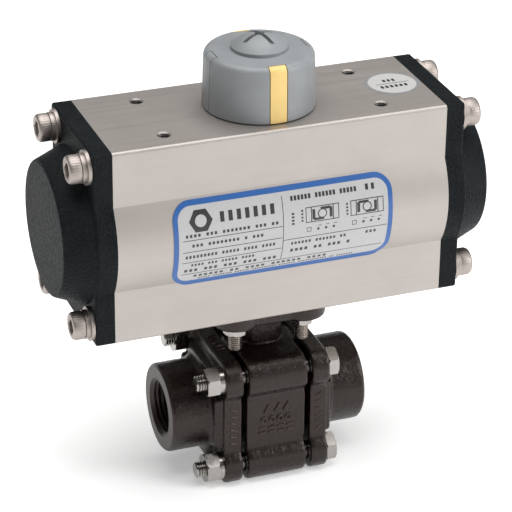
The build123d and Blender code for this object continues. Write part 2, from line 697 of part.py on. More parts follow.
def make_valve_end():
    """The +X end piece: flange, collar, threaded hub and the register that enters the body."""
    flange = extrude_x(Pos(0, FLOW_Z) * casting_outline(), FLANGE_INNER_X, FLANGE_OUTER_X)
    faces = flange.faces().filter_by(Axis.X)
    flange = chamfer([edge for face in faces for edge in face.outer_wire().edges()], 0.5)
    collar = extrude_x(Pos(0, FLOW_Z) * collar_outline(), FLANGE_OUTER_X, COLLAR_X)
    collar = chamfer(collar.faces().sort_by(Axis.X)[-1].outer_wire().edges(), 0.8)
    hub = Cylinder(HUB_R, HUB_END_X - FLANGE_OUTER_X)
    hub = chamfer(hub.faces().sort_by(Axis.Z)[-1].edges(), 0.7)
    hub = Pos((HUB_END_X + FLANGE_OUTER_X) / 2, 0, FLOW_Z) * along_x(hub)
    root = Pos(COLLAR_X + 0.7, 0, FLOW_Z) * along_x(Cone(HUB_R + 1.4, HUB_R, 1.4))
    end = flange + collar + hub + root
    end += rod_x(REGISTER_R, BODY_HALF_X, FLANGE_INNER_X, 0, FLOW_Z)
    end += rod_x(12.85, 9.3, BODY_HALF_X, 0, FLOW_Z)
    cuts = [rod_x(FLOW_R, 9, HUB_END_X, 0, FLOW_Z)]
    cuts.append(rod_x(11.85, 9, 11.45, 0, FLOW_Z))
    cuts.append(rod_x(PORT_R, HUB_END_X - PORT_DEPTH, HUB_END_X + 1, 0, FLOW_Z))
    mouth = Cone(PORT_R, PORT_R + PORT_CHAMFER, PORT_CHAMFER)
    cuts.append(Pos(HUB_END_X - PORT_CHAMFER / 2, 0, FLOW_Z) * along_x(mouth))
    cuts += bolt_holes(9, COLLAR_X + 1)
    return end - cuts


# ---- valve internals ----------------------------------------------------------------

def make_ball():
    ball = Pos(0, 0, FLOW_Z) * Sphere(BALL_R)
    slot = block(-BALL_R, BALL_R, -2.3, 2.3, FLOW_Z + 9.3, FLOW_Z + BALL_R + 1)
    return ball - rod_y(FLOW_R, -BALL_R - 1, BALL_R + 1, 0, FLOW_Z) - slot


def seat_ring():
    """Ring turned about X, its inner front corner hollowed to the ball."""
    inner, outer, front, back = 7.7, 11.8, 7.4, 11.4
    sphere_r = BALL_R + SLIP
    square = Pos((front + back) / 2, (inner + outer) / 2) * Rectangle(back - front, outer - inner)
    section = square - Circle(sphere_r)
    return Pos(0, 0, FLOW_Z) * revolve(section, Axis.X)


def body_seal():
    return tube_x(14.45, 12.9, 9.05, 11.25, 0, FLOW_Z)


def make_valve_stem():
    stem = rod_z(STEM_R, 38.3, STEM_TOP_Z)
    above = square_bar(STEM_SQUARE, 67.0, STEM_TOP_Z + 1) + rod_z(STEM_R, 38, 67.0)
    stem = stem & above
    stem += rod_z(CHAMBER_R, 38.3, 40.8)
    stem += block(-4.5, 4.5, -2.2, 2.2, 34.0, 38.4) & rod_z(4.6, 33, 39)
    groove = tube_z(STEM_R + 1, 4.6, 44.0, 46.2)
    return stem - groove


def stem_packing():
    rings = []
    for step in range(3):
        low = 49.9 + 2.25 * step
        rings.append(tube_z(CHAMBER_R - 0.04, STEM_R + SLIP, low, low + 2.15))
    return group(rings)


def belleville_washers():
    """Two dished washers, the second one upside down on the first."""
    inner, outer = STEM_R + 0.15, CHAMBER_R - 0.1
    rise, thick = 0.45, 0.6
    section = [(inner, rise), (outer, 0), (outer, thick), (inner, rise + thick)]
    dish = revolve(Plane.XZ * make_face(Polyline(*section, close=True)), Axis.Z)
    lower = Pos(0, 0, 60.35) * dish
    upper = Pos(0, 0, 60.35 + 2 * (rise + thick) + 0.02) * Rot(180, 0, 0) * dish
    return group([lower, upper])


def gland_ring():
    return tube_z(CHAMBER_R - 0.05, STEM_R + SLIP, 56.7, 60.3)


def gland_nut():
    return Pos(0, 0, 62.75) * hex_nut(16.0, STEM_R + SLIP, 3.7)


def gland_lock_washer():
    low = 66.6
    return rod_z(8.0, low, low + 0.8) - rod_z(STEM_R + 0.1, low - 1, low + 2)


def centring_ring():
    return tube_z(SPIGOT_R - 0.05, 10.5, ACT_BASE_Z - 1.7, ACT_BASE_Z + 2.0)


def drive_sleeve():
    """Square bush that fits the valve's stem to the larger square of the pinion."""
    low = ACT_BASE_Z
    sleeve = square_bar(DRIVE_SQUARE - 0.06, low, low + 14.5)
    hole = square_bar(STEM_SQUARE + 0.06, low - 1, low + 16) & rod_z(STEM_R + SLIP, low - 1, low + 16)
    return sleeve - hole


# ---- fasteners of the valve ---------------------------------------------------------

def body_bolts():
    head_x = FLANGE_OUTER_X
    length = head_x - BOLT_TIP_X
    thread = 14.0
    bolt = hex_nut(10.0, 0.01, 4.0) + rod_z(BOLT_R, -length + thread, 1)
    bolt += screw_thread(BOLT_R, 1.0, -length, -length + thread)
    placed = [Pos(head_x, y, FLOW_Z + z) * along_x(bolt) for y, z in corners(BOLT_OFFSET, BOLT_OFFSET)]
    return group(placed)


def on_left_of_flange(piece, gap):
    """Four copies of a piece drawn along +Z, on the -X flange and pointing away from it."""
    placed = []
    for y, z in corners(BOLT_OFFSET, BOLT_OFFSET):
        placed.append(Pos(-FLANGE_OUTER_X - gap, y, FLOW_Z + z) * Rot(0, -90, 0) * piece)
    return group(placed)


def at_studs(piece, z):
    return group([Pos(x, y, z) * piece for x, y in corners(STUD_OFFSET, STUD_OFFSET)])


def mounting_stud():
    thread_top = PAD_BOTTOM_Z - 0.5
    return screw_thread(STUD_R, 0.8, 51.6, thread_top) + rod_z(STUD_R, thread_top, ACT_BASE_Z + 9)


# ---- the assembly -------------------------------------------------------------------

def build_parts():
    right_cap = make_end_cap()
    right_piston = make_piston()
    right_end = make_valve_end()
    plate_x = BODY_HALF_LENGTH + CAP_PLATE
    flat_washer = tube_z(6.1, 3.2, 0, FLAT_WASHER)
    mount_washer = split_washer(4.4, 2.65, MOUNT_WASHER)
    return {
        "actuator_body": make_actuator_body(),
        "end_cap_right": right_cap,
        "end_cap_left": left_of(right_cap),
        "end_cap_seal_right": cap_seal(),
        "end_cap_seal_left": left_of(cap_seal()),
        "end_cap_washers": at_cap_screws(flat_washer, plate_x),
        "end_cap_lock_washers": at_cap_screws(split_washer(5.1, 3.15, SPRING_WASHER),
                                              plate_x + FLAT_WASHER),
        "end_cap_screws": at_cap_screws(cap_screw(), plate_x + FLAT_WASHER + SPRING_WASHER),
        "pinion": make_pinion(),
        "pinion_lower_bearing": lower_bearing(),
        "pinion_upper_bearing": upper_bearing(),
        "pinion_lower_seal": lower_shaft_seal(),
        "pinion_upper_seal": upper_shaft_seal(),
        "inner_thrust_washer": inner_thrust_washer(),
        "outer_thrust_washer": tube_z(11.5, 8.0 + SLIP, ACT_TOP_Z + 0.05, ACT_TOP_Z + 1.15),
        "circlip_washer": tube_z(11.5, 8.0 + SLIP, ACT_TOP_Z + 1.2, ACT_TOP_Z + 2.15),
        "circlip": circlip(),
        "piston_right": right_piston,
        "piston_left": turned(right_piston),
        "piston_seal_right": piston_seal(),
        "piston_seal_left": left_of(piston_seal()),
        "piston_guide_ring_right": piston_guide_ring(),
        "piston_guide_ring_left": left_of(piston_guide_ring()),
        "piston_pad_right": piston_pad(),
        "piston_pad_left": turned(piston_pad()),
        "indicator_base_ring": indicator_base_ring(),
        "indicator_cap": make_indicator_cap(),
        "indicator_stripes": indicator_inserts(0),
        "indicator_blanks": indicator_inserts(90),
        "indicator_screw": make_indicator_screw(),
        "name_label": make_name_label(),
        "inspection_sticker": inspection_sticker(),
        "centring_ring": centring_ring(),
        "drive_sleeve": drive_sleeve(),
        "valve_body": make_valve_body(),
        "valve_end_right": right_end,
        "valve_end_left": left_of(right_end),
        "ball": make_ball(),
        "seat_right": seat_ring(),
        "seat_left": left_of(seat_ring()),
        "body_seal_right": body_seal(),
        "body_seal_left": left_of(body_seal()),
        "valve_stem": make_valve_stem(),
        "stem_thrust_washer": tube_z(CHAMBER_R, STEM_R + SLIP, 40.85, 41.95),
        "stem_seal": o_ring_z(0.67, 5.27, 45.1),
        "stem_packing": stem_packing(),
        "gland_ring": gland_ring(),
        "belleville_washers": belleville_washers(),
        "gland_nut": gland_nut(),
        "gland_lock_washer": gland_lock_washer(),
        "body_bolts": body_bolts(),
        "body_lock_washers": on_left_of_flange(split_washer(5.1, 3.1, SPRING_WASHER), 0),
        "body_nuts": on_left_of_flange(hex_nut(10.0, BOLT_R + SLIP, 5.0), SPRING_WASHER),
        "mounting_studs": at_studs(mounting_stud(), 0),
        "mounting_washers": at_studs(mount_washer, PAD_BOTTOM_Z - MOUNT_WASHER),
        "mounting_nuts": at_studs(hex_nut(8.0, STUD_R + SLIP, MOUNT_NUT),
                                  PAD_BOTTOM_Z - MOUNT_WASHER - MOUNT_NUT),
    }


os.makedirs("parts", exist_ok=True)
for node, shape in build_parts().items():
    export_step(shape, f"parts/{node}.step")
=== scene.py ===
"""Looks of the pneumatic actuated valve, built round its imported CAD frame. Metres throughout."""
import json
import math

import bmesh
import bpy
from mathutils import Matrix, Vector, noise


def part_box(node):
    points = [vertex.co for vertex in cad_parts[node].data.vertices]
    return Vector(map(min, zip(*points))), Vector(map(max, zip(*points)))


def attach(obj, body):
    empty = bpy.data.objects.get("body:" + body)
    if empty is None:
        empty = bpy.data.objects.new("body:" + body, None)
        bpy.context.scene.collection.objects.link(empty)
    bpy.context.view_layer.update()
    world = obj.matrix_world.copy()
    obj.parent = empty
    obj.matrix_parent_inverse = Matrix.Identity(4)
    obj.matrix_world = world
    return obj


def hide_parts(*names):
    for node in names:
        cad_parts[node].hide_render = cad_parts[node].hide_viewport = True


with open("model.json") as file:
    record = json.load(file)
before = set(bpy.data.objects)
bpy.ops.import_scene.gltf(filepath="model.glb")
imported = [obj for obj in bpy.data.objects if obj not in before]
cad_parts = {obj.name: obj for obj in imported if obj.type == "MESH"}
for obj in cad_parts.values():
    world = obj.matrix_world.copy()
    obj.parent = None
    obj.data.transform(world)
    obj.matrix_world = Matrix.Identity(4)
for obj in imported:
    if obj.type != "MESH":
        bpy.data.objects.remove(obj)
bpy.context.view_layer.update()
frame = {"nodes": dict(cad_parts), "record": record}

MM = 0.001
NODES = frame["nodes"]

# places read from the frame
BODY_LOW, BODY_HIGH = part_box("actuator_body")
TOP_Z = BODY_HIGH.z
BORE_Z = (BODY_LOW.z + BODY_HIGH.z) / 2
HUB_LOW, HUB_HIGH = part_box("valve_end_right")
FLOW_Z = (HUB_LOW.z + HUB_HIGH.z) / 2
HUB_END_X = HUB_HIGH.x


# ---- camera, light and floor --------------------------------------------------------

SENSOR = 36.0
LENS = 174.7
CAMERA_TURN = math.radians(-20.912)
CAMERA_RISE = math.radians(27.095)
CAMERA_ROLL = math.radians(0.695)
CAMERA_DISTANCE = 867.57 * MM
AIM_RIGHT = -0.89 * MM
AIM_UP = -53.615 * MM


def view_axes():
    """Right, up and back directions of the camera."""
    a, e, r = CAMERA_TURN, CAMERA_RISE, CAMERA_ROLL
    back = Vector((math.sin(a) * math.cos(e), -math.cos(a) * math.cos(e), math.sin(e)))
    level = Vector((math.cos(a), math.sin(a), 0))
    plumb = back.cross(level)
    right = math.cos(r) * level + math.sin(r) * plumb
    return right, back.cross(right), back


def add_camera():
    right, up, back = view_axes()
    data = bpy.data.cameras.new("camera")
    data.sensor_width = SENSOR
    data.lens = LENS
    data.clip_start = 0.05
    camera = bpy.data.objects.new("camera", data)
    bpy.context.scene.collection.objects.link(camera)
    aim = Vector((0, 0, TOP_Z)) + AIM_RIGHT * right + AIM_UP * up
    place = aim + CAMERA_DISTANCE * back
    turn = Matrix((right, up, back)).transposed().to_4x4()
    camera.matrix_world = Matrix.Translation(place) @ turn
    bpy.context.scene.camera = camera


def add_area_light(name, place, size, power, colour=(1, 1, 1)):
    data = bpy.data.lights.new(name, "AREA")
    data.shape = "RECTANGLE"
    data.size, data.size_y = size
    data.energy = power
    data.color = colour
    light = bpy.data.objects.new(name, data)
    bpy.context.scene.collection.objects.link(light)
    light.location = place
    aim = Vector((0, 0, 0.09)) - Vector(place)
    light.rotation_euler = aim.to_track_quat("-Z", "Y").to_euler()


def add_world(colour, strength):
    world = bpy.data.worlds.new("studio")
    world.use_nodes = True
    background = world.node_tree.nodes["Background"]
    background.inputs["Color"].default_value = (*colour, 1)
    background.inputs["Strength"].default_value = strength
    bpy.context.scene.world = world


# ---- material helpers ---------------------------------------------------------------

class Shader:
    """A Principled material with short calls for the nodes that feed it."""

    def __init__(self, name, colour, metallic=0.0, roughness=0.5, **sockets):
        self.material = bpy.data.materials.new(name)
        self.material.use_nodes = True
        self.tree = self.material.node_tree
        self.bsdf = self.tree.nodes["Principled BSDF"]
        self.set("Base Color", (*colour, 1))
        self.set("Metallic", metallic)
        self.set("Roughness", roughness)
        for socket, value in sockets.items():
            self.set(socket.replace("_", " "), value)
        self.coords = self.add("ShaderNodeTexCoord").outputs["Object"]

    def set(self, socket, value):
        self.bsdf.inputs[socket].default_value = value

    def add(self, kind):
        return self.tree.nodes.new(kind)

    def link(self, source, target):
        self.tree.links.new(source, target)

    def stretched(self, scale):
        """Object coordinates, scaled along each axis."""
        mapping = self.add("ShaderNodeMapping")
        mapping.inputs["Scale"].default_value = scale
        self.link(self.coords, mapping.inputs["Vector"])
        return mapping.outputs["Vector"]

    def noise(self, size, detail=2.0, rough=0.5, coords=None):
        """Noise whose features are about this many metres across."""
        node = self.add("ShaderNodeTexNoise")
        node.inputs["Scale"].default_value = 1 / size
        node.inputs["Detail"].default_value = detail
        node.inputs["Roughness"].default_value = rough
        self.link(coords or self.coords, node.inputs["Vector"])
        return node.outputs["Fac"]

    def cells(self, size):
        """Distance from the middle of cells that are about this many metres across."""
        node = self.add("ShaderNodeTexVoronoi")
        node.inputs["Scale"].default_value = 1 / size
        self.link(self.coords, node.inputs["Vector"])
        return node.outputs["Distance"]

    def remap(self, value, low, high, from_low=0.3, from_high=0.7):
        node = self.add("ShaderNodeMapRange")
        node.inputs["From Min"].default_value = from_low
        node.inputs["From Max"].default_value = from_high
        node.inputs["To Min"].default_value = low
        node.inputs["To Max"].default_value = high
        self.link(value, node.inputs["Value"])
        return node.outputs["Result"]

    def blend(self, value, first, second, from_low=0.3, from_high=0.7):
        """Colour that goes from first to second as value rises."""
        ramp = self.add("ShaderNodeValToRGB")
        ramp.color_ramp.elements[0].position = from_low
        ramp.color_ramp.elements[0].color = (*first, 1)
        ramp.color_ramp.elements[1].position = from_high
        ramp.color_ramp.elements[1].color = (*second, 1)
        self.link(value, ramp.inputs["Fac"])
        return ramp.outputs["Color"]

    def mix(self, factor, first, second):
        node = self.add("ShaderNodeMix")
        node.data_type = "RGBA"
        self.link(factor, node.inputs[0])
        self.link(first, node.inputs[6])
        self.link(second, node.inputs[7])
        return node.outputs[2]

    def tint(self, colour):
        """A fixed colour to mix with."""
        node = self.add("ShaderNodeRGB")
        node.outputs[0].default_value = (*colour, 1)
        return node.outputs[0]

    def colour(self, source):
        self.link(source, self.bsdf.inputs["Base Color"])

    def roughness(self, source):
        self.link(source, self.bsdf.inputs["Roughness"])

    def bump(self, height, distance, strength=1.0):
        """Raise the surface by up to this distance in metres; later calls add to earlier ones."""
        node = self.add("ShaderNodeBump")
        node.inputs["Distance"].default_value = distance
        node.inputs["Strength"].default_value = strength
        self.link(height, node.inputs["Height"])
        normal = self.bsdf.inputs["Normal"]
        if normal.is_linked:
            self.link(normal.links[0].from_socket, node.inputs["Normal"])
        self.link(node.outputs["Normal"], normal)


# ---- materials ----------------------------------------------------------------------

def anodised_aluminium():
    """Extruded and satin anodised: faint draw lines along X over a fine matt grain."""
    s = Shader("anodised_aluminium", (0.56, 0.52, 0.49), metallic=0.9, roughness=0.4)
    lines = s.noise(1.0, 3, 0.6, s.stretched((10, 1500, 1500)))
    grain = s.noise(0.4 * MM, 2)
    cloud = s.noise(16 * MM, 3)
    s.colour(s.blend(cloud, (0.462, 0.426, 0.400), (0.490, 0.453, 0.427)))
    s.roughness(s.remap(lines, 0.46, 0.54))
    s.bump(lines, 0.006 * MM)
    s.bump(grain, 0.035 * MM)
    return s.material


def textured_coat():
    """Dark powder coat with a fine wrinkle, a little lighter in colour on its raised grain."""
    s = Shader("textured_coat", (0.008, 0.010, 0.011), roughness=0.6, Specular_IOR_Level=0.07)
    wrinkle = s.noise(1.1 * MM, 3, 0.6)
    pits = s.cells(0.8 * MM)
    cloud = s.noise(10 * MM, 3)
    base = s.blend(cloud, (0.0068, 0.0088, 0.0100), (0.0120, 0.0145, 0.0160))
    s.colour(s.mix(s.remap(pits, 0.0, 0.5, 0.45, 0.8), base, s.tint((0.019, 0.022, 0.0245))))
    s.roughness(s.remap(wrinkle, 0.42, 0.62))
    s.bump(wrinkle, 0.5 * MM)
    s.bump(pits, 0.16 * MM)
    return s.material


def stainless(name, colour, rough_low, rough_high, stretch=(900, 900, 900), depth=0.004):
    s = Shader(name, colour, metallic=1.0, roughness=rough_low)
    marks = s.noise(1.0, 3, 0.6, s.stretched(stretch))
    stain = s.noise(4 * MM, 2)
    darker = tuple(c * 0.9 for c in colour)
    s.colour(s.blend(stain, darker, colour))
    s.roughness(s.remap(marks, rough_low, rough_high))
    s.bump(marks, depth * MM)
    return s.material


def dark_casting():
    """Blackened and oiled casting: grainy, half gloss, browner on sharp edges, partly rubbed wear
    and partly a painted highlight.
    """
    s = Shader("dark_casting", (0.016, 0.0135, 0.013), roughness=0.30, Specular_IOR_Level=0.46)
    lumps = s.noise(1.5 * MM, 3, 0.55)
    sand = s.noise(0.6 * MM, 2, 0.6)
    patches = s.noise(6 * MM, 4, 0.6)
    base = s.blend(patches, (0.0036, 0.0020, 0.0016), (0.0105, 0.0055, 0.0040))
    # Browner colour on convex edges (pointiness): partly real rubbed wear, partly a painted
    # highlight where the edges catch light.
    edge = s.add("ShaderNodeNewGeometry").outputs["Pointiness"]
    edge_wear_and_painted_highlight = s.remap(edge, 0.0, 0.6, 0.52, 0.57)
    s.colour(s.mix(edge_wear_and_painted_highlight, base, s.tint((0.050, 0.025, 0.017))))
    s.set("Specular Tint", (1.0, 0.90, 0.85, 1.0))
    s.roughness(s.remap(sand, 0.24, 0.38))
    s.bump(lumps, 0.17 * MM)
    s.bump(sand, 0.12 * MM)
    return s.material


def turned_casting():
    """The same dark finish over a turned face, with fine rings round the pipe axis."""
    s = Shader("turned_casting", (0.02, 0.015, 0.014), metallic=0.0, roughness=0.45)
    centre = s.add("ShaderNodeVectorMath")
    centre.operation = "SUBTRACT"
    centre.inputs[1].default_value = (0, 0, FLOW_Z)
    s.link(s.coords, centre.inputs[0])
    across = s.add("ShaderNodeVectorMath")
    across.operation = "MULTIPLY"
    across.inputs[1].default_value = (0.02, 1, 1)
    s.link(centre.outputs["Vector"], across.inputs[0])
    length = s.add("ShaderNodeVectorMath")
    length.operation = "LENGTH"
    s.link(across.outputs["Vector"], length.inputs[0])
    spread = s.add("ShaderNodeCombineXYZ")
    s.link(length.outputs["Value"], spread.inputs["X"])
    rings = s.noise(0.25 * MM, 2, 0.5, spread.outputs["Vector"])
    stain = s.noise(2.5 * MM, 3)
    s.colour(s.blend(stain, (0.0080, 0.0034, 0.0026), (0.019, 0.0092, 0.007)))
    s.set("Specular Tint", (1.0, 0.90, 0.85, 1.0))
    s.roughness(s.remap(rings, 0.3, 0.5))
    s.bump(rings, 0.02 * MM)
    return s.material


def moulded(name, colour, roughness=0.45, grain=0.35 * MM, depth=0.02 * MM):
    s = Shader(name, colour, roughness=roughness)
    fine = s.noise(grain, 2)
    cloud = s.noise(8 * MM, 3)
    lighter = tuple(min(1, c * 1.06) for c in colour)
    darker = tuple(c * 0.94 for c in colour)
    s.colour(s.blend(cloud, darker, lighter))
    s.roughness(s.remap(fine, roughness - 0.05, roughness + 0.07))
    s.bump(fine, depth)
    return s.material


def printed_film(name, colour, roughness=0.32):
    s = Shader(name, colour, roughness=roughness, Coat_Weight=0.25, Coat_Roughness=0.2)
    fibre = s.noise(0.8 * MM, 3)
    lighter = tuple(min(1, c * 1.03) for c in colour)
    darker = tuple(c * 0.96 for c in colour)
    s.colour(s.blend(fibre, darker, lighter))
    s.bump(s.noise(6 * MM, 2), 0.02 * MM)
    return s.material


def paper_white_floor():
    s = Shader("floor", (0.92, 0.92, 0.92), roughness=0.8)
    s.set("Emission Color", (1, 1, 1, 1))
    s.set("Emission Strength", 0.36)
    s.colour(s.blend(s.noise(0.3, 2), (0.915, 0.915, 0.915), (0.925, 0.925, 0.925)))
    return s.material


def dress(material, *names):
    for name in names:
        slots = NODES[name].data.materials
        slots.clear()
        slots.append(material)


def dress_cad_nodes(cast, satin):
    dress(anodised_aluminium(), "actuator_body")
    dress(textured_coat(), "end_cap_left", "end_cap_right")
    dress(satin, "end_cap_screws", "end_cap_washers", "end_cap_lock_washers", "circlip_washer")
    bright = stainless("bright_plating", (0.38, 0.36, 0.34), 0.16, 0.24, (700, 700, 700), 0.001)
    dress(bright, "body_bolts", "body_nuts", "body_lock_washers", "mounting_nuts",
          "mounting_washers", "gland_nut", "gland_lock_washer", "belleville_washers",
          "gland_ring", "circlip")
    stud = stainless("stud_steel", (0.46, 0.41, 0.37), 0.2, 0.3, (700, 700, 700), 0.001)
    dress(stud, "mounting_studs")
    dress(cast, "valve_body", "valve_end_left", "valve_end_right")
    grey = moulded("indicator_grey", (0.275, 0.290, 0.300), 0.42)
    dress(grey, "indicator_cap", "indicator_blanks", "indicator_screw")
    dress(moulded("indicator_yellow", (0.86, 0.61, 0.22), 0.42), "indicator_stripes")
    rubber = moulded("seal_rubber", (0.02, 0.02, 0.02), 0.6)
    dress(rubber, "end_cap_seal_left", "end_cap_seal_right", "pinion_lower_seal",
          "pinion_upper_seal", "piston_seal_left", "piston_seal_right",
          "indicator_base_ring", "stem_seal")
    acetal = moulded("bearing_plastic", (0.72, 0.70, 0.62), 0.5)
    dress(acetal, "pinion_lower_bearing", "pinion_upper_bearing", "inner_thrust_washer",
          "outer_thrust_washer", "piston_guide_ring_left", "piston_guide_ring_right",
          "piston_pad_left", "piston_pad_right")
    ptfe = moulded("seat_ptfe", (0.86, 0.86, 0.84), 0.38)
    dress(ptfe, "seat_left", "seat_right", "body_seal_left", "body_seal_right",
          "stem_packing", "stem_thrust_washer")
    steel = stainless("pinion_steel", (0.5, 0.49, 0.48), 0.25, 0.4)
    dress(steel, "pinion", "drive_sleeve", "valve_stem", "centring_ring")
    dress(stainless("cast_piston", (0.62, 0.62, 0.62), 0.35, 0.5), "piston_left", "piston_right")
    dress(stainless("polished_ball", (0.8, 0.8, 0.8), 0.08, 0.14), "ball")


# ---- mesh helpers -------------------------------------------------------------------

TURN = 2 * math.pi


class Builder:
    """Collects points and faces, with a material number for each face."""

    def __init__(self):
        self.points = []
        self.faces = []
        self.paint = []

    def add(self, points, faces, paint=0):
        start = len(self.points)
        self.points += points
        self.faces += [tuple(start + i for i in face) for face in faces]
        self.paint += [paint] * len(faces)

    def skin(self, loops, paint=0, closed=True, lids=False):
        """Quads between round loops of equal length; closed joins the last loop to the first."""
        count = len(loops[0])
        points = [point for loop in loops for point in loop]
        faces = []
        for k in range(len(loops) if closed else len(loops) - 1):
            a = k * count
            b = (k + 1) % len(loops) * count
            for i in range(count):
                j = (i + 1) % count
                faces.append((a + i, a + j, b + j, b + i))
        if lids:
            last = (len(loops) - 1) * count
            faces.append(tuple(reversed(range(count))))
            faces.append(tuple(range(last, last + count)))
        self.add(points, faces, paint)

    def slab(self, rows, place, bottom, top, paint=0):
        """Thin closed plate on a surface. Each row is (v, left u, right u)."""
        loops = []
        for v, left, right in rows:
            loops.append([place(left, v, top), place(right, v, top),
                          place(right, v, bottom), place(left, v, bottom)])
        self.skin(loops, paint, closed=False, lids=True)

    def piece(self, name, body, slot, materials, replaces=(), smooth=True):
        mesh = bpy.data.meshes.new(name)
        mesh.from_pydata(self.points, [], self.faces)
        for material in materials:
            mesh.materials.append(material)
        mesh.polygons.foreach_set("material_index", self.paint)
        mesh.validate()
        fix = bmesh.new()
        fix.from_mesh(mesh)
        bmesh.ops.recalc_face_normals(fix, faces=fix.faces)
        fix.to_mesh(mesh)
        fix.free()
        if smooth:
            mesh.shade_smooth()
            mesh.set_sharp_from_angle(angle=math.radians(35))
        return settle(bpy.data.objects.new(name, mesh), body, replaces)


def settle(piece, body, replaces=()):
    """Put a finished piece in the scene, on its body, in place of the CAD nodes it shows."""
    bpy.context.scene.collection.objects.link(piece)
    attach(piece, body)
    if replaces:
        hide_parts(*replaces)
    return piece


def aimed(place, axis):
    """Matrix that takes a shape drawn along +Z to this place and direction."""
    turn = Vector(axis).to_track_quat("Z", "Y").to_matrix().to_4x4()
    return Matrix.Translation(place) @ turn


def loop_of(matrix, radius, height, steps):
    """Round loop about the local Z axis; radius is a number or a function of the angle."""
    points = []
    for i in range(steps):
        angle = i * TURN / steps
        r = radius(angle) if callable(radius) else radius
        points.append(matrix @ Vector((r * math.cos(angle), r * math.sin(angle), height)))
    return points


# ---- threads ------------------------------------------------------------------------

def threaded_sleeve(build, matrix, minor_r, ridge, pitch, length, chamfer, outer_r, face_r, steps):
    """Tapped hole from its mouth at local z = 0 inwards, with a turned face round the mouth."""
    proud = 0.04 * MM
    soft = 0.15 * MM
    back = -2 * soft

    def wall(height):
        def radius(angle):
            phase = (height / pitch + angle / TURN) % 1
            groove = max(0.0, 1 - abs(phase - 0.5) * 2.3)
            return max(minor_r + ridge * groove, minor_r + chamfer + height)
        return radius

    rows = int(length / pitch * 12)
    loops = [loop_of(matrix, face_r, back, steps)]
    loops.append(loop_of(matrix, face_r, proud - soft, steps))
    loops.append(loop_of(matrix, face_r - soft, proud, steps))
    loops.append(loop_of(matrix, minor_r + chamfer + proud, proud, steps))
    for row in range(rows + 1):
        height = -length * row / rows
        loops.append(loop_of(matrix, wall(height), height, steps))
    loops.append(loop_of(matrix, outer_r, -length, steps))
    loops.append(loop_of(matrix, outer_r, back, steps))
    build.skin(loops)


PORT_MINOR_R = 9.315 * MM      # G1/2
PORT_PITCH = 1.814 * MM
PORT_THREAD_LENGTH = 14.6 * MM
PORT_FACE_R = 15.7 * MM


def pipe_ports(material):
    """G1/2 threads and the turned faces of both hubs."""
    for side, name in ((1, "port_thread_right"), (-1, "port_thread_left")):
        build = Builder()
        mouth = aimed((side * HUB_END_X, 0, FLOW_Z), (side, 0, 0))
        threaded_sleeve(build, mouth, PORT_MINOR_R, 1.0 * MM, PORT_PITCH, PORT_THREAD_LENGTH,
                        1.6 * MM, PORT_SLEEVE_R, PORT_FACE_R, 120)
        build.piece(name, "housing", "dark_casting", [material])


def small_threads(material):
    """Threads just inside the tapped holes of the actuator: M5, and the two G1/4 air ports."""
    build = Builder()
    for mount in frame["record"]["mounts"]:
        centre = Vector(mount["pos_m"])
        axis = Vector(mount["axis"])
        if mount["name"] in ("accessory_pattern", "solenoid_pattern"):
            dims = mount["dims"]
            across = Vector((1, 0, 0))
            up = axis.cross(across)
            for a in (-0.5, 0.5):
                for b in (-0.5, 0.5):
                    place = centre + a * dims["spacing_x_mm"] * MM * across
                    place += b * dims["spacing_y_mm"] * MM * up
                    sunk = place - axis * 0.6 * MM
                    threaded_sleeve(build, aimed(sunk, axis), 1.78 * MM, 0.27 * MM, 0.8 * MM,
                                    6 * MM, 0.2 * MM, 2.08 * MM, 2.08 * MM, 28)
        elif mount["name"].startswith("air_port"):
            mouth = centre + axis * (mount["dims"]["length_mm"] / 2 - 0.2) * MM
            threaded_sleeve(build, aimed(mouth, axis), 5.35 * MM, 0.5 * MM, 1.337 * MM,
                            8 * MM, 0.4 * MM, 5.88 * MM, 5.88 * MM, 56)
    build.piece("actuator_threads", "housing", "anodised_body", [material])


# ---- cap screws ---------------------------------------------------------------------

HEAD_R = 5.0 * MM
HEAD_TALL = 4.4 * MM


def socket_screw(build, matrix):
    """Knurled low head with a hexagon socket, its seat at local z = 0."""
    steps = 144
    socket_half = 2.5 * MM
    socket_floor = HEAD_TALL - 2.6 * MM

    def knurled(angle):
        return HEAD_R - 0.13 * MM * abs(math.sin(angle * steps / 8))

    def hexagon(angle):
        return socket_half / math.cos((angle % (TURN / 6)) - TURN / 12)

    profile = [
        (3.2 * MM, 0), (HEAD_R - 0.5 * MM, 0), (HEAD_R - 0.2 * MM, 0.15 * MM),
        (HEAD_R - 0.14 * MM, 0.35 * MM), (knurled, 0.55 * MM),
        (knurled, HEAD_TALL - 1.0 * MM), (HEAD_R - 0.16 * MM, HEAD_TALL - 0.8 * MM),
        (HEAD_R - 0.3 * MM, HEAD_TALL - 0.35 * MM), (HEAD_R - 0.6 * MM, HEAD_TALL - 0.08 * MM),
        (HEAD_R - 0.9 * MM, HEAD_TALL), (3.4 * MM, HEAD_TALL),
        (lambda angle: hexagon(angle) + 0.35 * MM, HEAD_TALL),
        (hexagon, HEAD_TALL - 0.3 * MM), (hexagon, socket_floor),
        (0.8 * MM, socket_floor - 0.5 * MM),
    ]
    loops = [loop_of(matrix, radius, z, steps) for radius, z in profile]
    build.skin(loops, closed=False, lids=True)


def cap_screws(material):
    build = Builder()
    low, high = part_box("end_cap_screws")
    seat_x = high.x - HEAD_TALL
    for side in (-1, 1):
        for y in (low.y + HEAD_R, high.y - HEAD_R):
            for z in (low.z + HEAD_R, high.z - HEAD_R):
                socket_screw(build, aimed((side * seat_x, y, z), (side, 0, 0)))
    build.piece("knurled_cap_screws", "housing", "stainless_fasteners", [material],
                ["end_cap_screws"])


# ---- castings -----------------------------------------------------------------------

